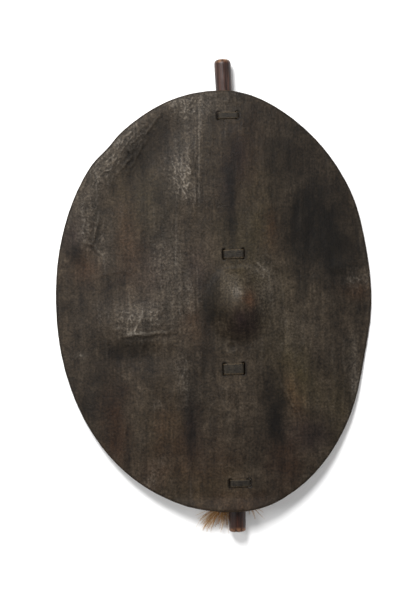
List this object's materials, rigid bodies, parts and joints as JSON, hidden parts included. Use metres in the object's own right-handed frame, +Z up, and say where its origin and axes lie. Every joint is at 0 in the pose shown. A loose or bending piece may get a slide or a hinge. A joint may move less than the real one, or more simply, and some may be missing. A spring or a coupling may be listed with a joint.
{
  "type": "hide shield",
  "caption": "Oval shield of stiff dark hide with a raised hand boss, lashed by flat hide thongs to a wooden stick that runs behind it.",
  "frame": {"origin": "centre of the footprint, on the floor that the shield lies on", "axes": "+Y along the stick towards its top end, +X to the right seen from the front, +Z up, out of the front face"},
  "size_m": [0.62, 0.922, 0.0818],
  "materials": {
    "hide": "dark, dried, half-glossy hide with creases and fine striations",
    "stick": "dark red-brown wood polished by handling, paler at its worn ends",
    "thong": "dark hide strap with paler worn edges",
    "fibre": "dry golden-brown plant fibre"
  },
  "bodies": {
    "root": {"hide": "hide", "stick": "stick", "thong_top": "thong", "thong_upper": "thong", "thong_lower": "thong", "thong_bottom": "thong", "fibre_tuft": "fibre"}
  },
  "joints": []
}
